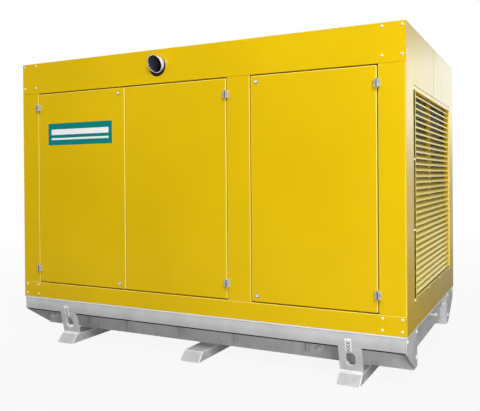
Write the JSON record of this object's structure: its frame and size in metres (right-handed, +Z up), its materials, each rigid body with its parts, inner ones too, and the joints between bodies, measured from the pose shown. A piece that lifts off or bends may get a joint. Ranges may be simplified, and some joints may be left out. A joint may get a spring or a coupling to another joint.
{
  "type": "diesel generator set",
  "caption": "Box canopy generating set on a low sled frame, with hinged side doors, louvred ends, a side exhaust and lifting lugs.",
  "frame": {"origin": "on the ground at the middle of the canopy's plan, on the underside of the middle foot", "axes": "+X toward the radiator louvre end, -Y toward the hinged doors, +Z up"},
  "size_m": [2.92, 1.724, 2.06],
  "materials": {
    "canopy_paint": "semi-gloss yellow powder coat",
    "frame_paint": "satin light grey paint",
    "hinge_zinc": "zinc plated",
    "latch_chrome": "bright chrome",
    "pipe_steel": "bright steel",
    "machine_paint": "dark grey machine enamel",
    "core_aluminium": "bare finned core"
  },
  "bodies": {
    "canopy_and_frame": {"front_rail": "frame_paint", "rear_rail": "frame_paint", "front_main_beam": "frame_paint", "rear_main_beam": "frame_paint", "left_crossbeam": "frame_paint", "right_crossbeam": "frame_paint", "front_left_end_plate": "frame_paint", "rear_left_end_plate": "frame_paint", "front_right_end_plate": "frame_paint", "rear_right_end_plate": "frame_paint", "rail_brackets": "frame_paint", "left_foot": "frame_paint", "middle_foot": "frame_paint", "right_foot": "frame_paint", "front_left_lug": "frame_paint", "rear_left_lug": "frame_paint", "front_right_lug": "frame_paint", "rear_right_lug": "frame_paint", "deck": "frame_paint", "drain_plug": "hinge_zinc", "front_left_post": "canopy_paint", "rear_left_post": "canopy_paint", "front_right_post": "canopy_paint", "rear_right_post": "canopy_paint", "front_pillar": "canopy_paint", "rear_pillar": "canopy_paint", "front_top_beam": "canopy_paint", "rear_top_beam": "canopy_paint", "front_sill": "canopy_paint", "rear_sill": "canopy_paint", "roof": "canopy_paint", "left_end_sheet": "canopy_paint", "right_end_sheet": "canopy_paint", "left_louvre_frame": "canopy_paint", "right_louvre_frame": "canopy_paint", "left_louvre_blades": "canopy_paint", "right_louvre_blades": "canopy_paint", "post_hinges": "hinge_zinc", "rear_doors": "canopy_paint", "rear_hinges": "hinge_zinc", "rear_latches": "latch_chrome", "exhaust_pipe": "pipe_steel", "silencer": "machine_paint", "engine": "machine_paint", "alternator": "machine_paint", "radiator": "core_aluminium"},
    "door_1_leaf": {"door_1": "canopy_paint", "door_1_hinges": "hinge_zinc", "door_1_latches": "latch_chrome"},
    "door_2_leaf": {"door_2": "canopy_paint", "door_2_hinges": "hinge_zinc"},
    "door_3_leaf": {"door_3": "canopy_paint", "door_3_hinges": "hinge_zinc", "door_3_latches": "latch_chrome"}
  },
  "joints": [
    {"name": "door_1_hinge", "type": "hinge", "parent": "canopy_and_frame", "child": "door_1_leaf", "pos_m": [-1.297, -0.83, 1.128], "axis": [0, 0, -1], "range_deg": [0, 110]},
    {"name": "door_2_hinge", "type": "hinge", "parent": "canopy_and_frame", "child": "door_2_leaf", "pos_m": [0.319, -0.83, 1.128], "axis": [0, 0, 1], "range_deg": [0, 110]},
    {"name": "door_3_hinge", "type": "hinge", "parent": "canopy_and_frame", "child": "door_3_leaf", "pos_m": [1.297, -0.83, 1.128], "axis": [0, 0, 1], "range_deg": [0, 110]}
  ]
}
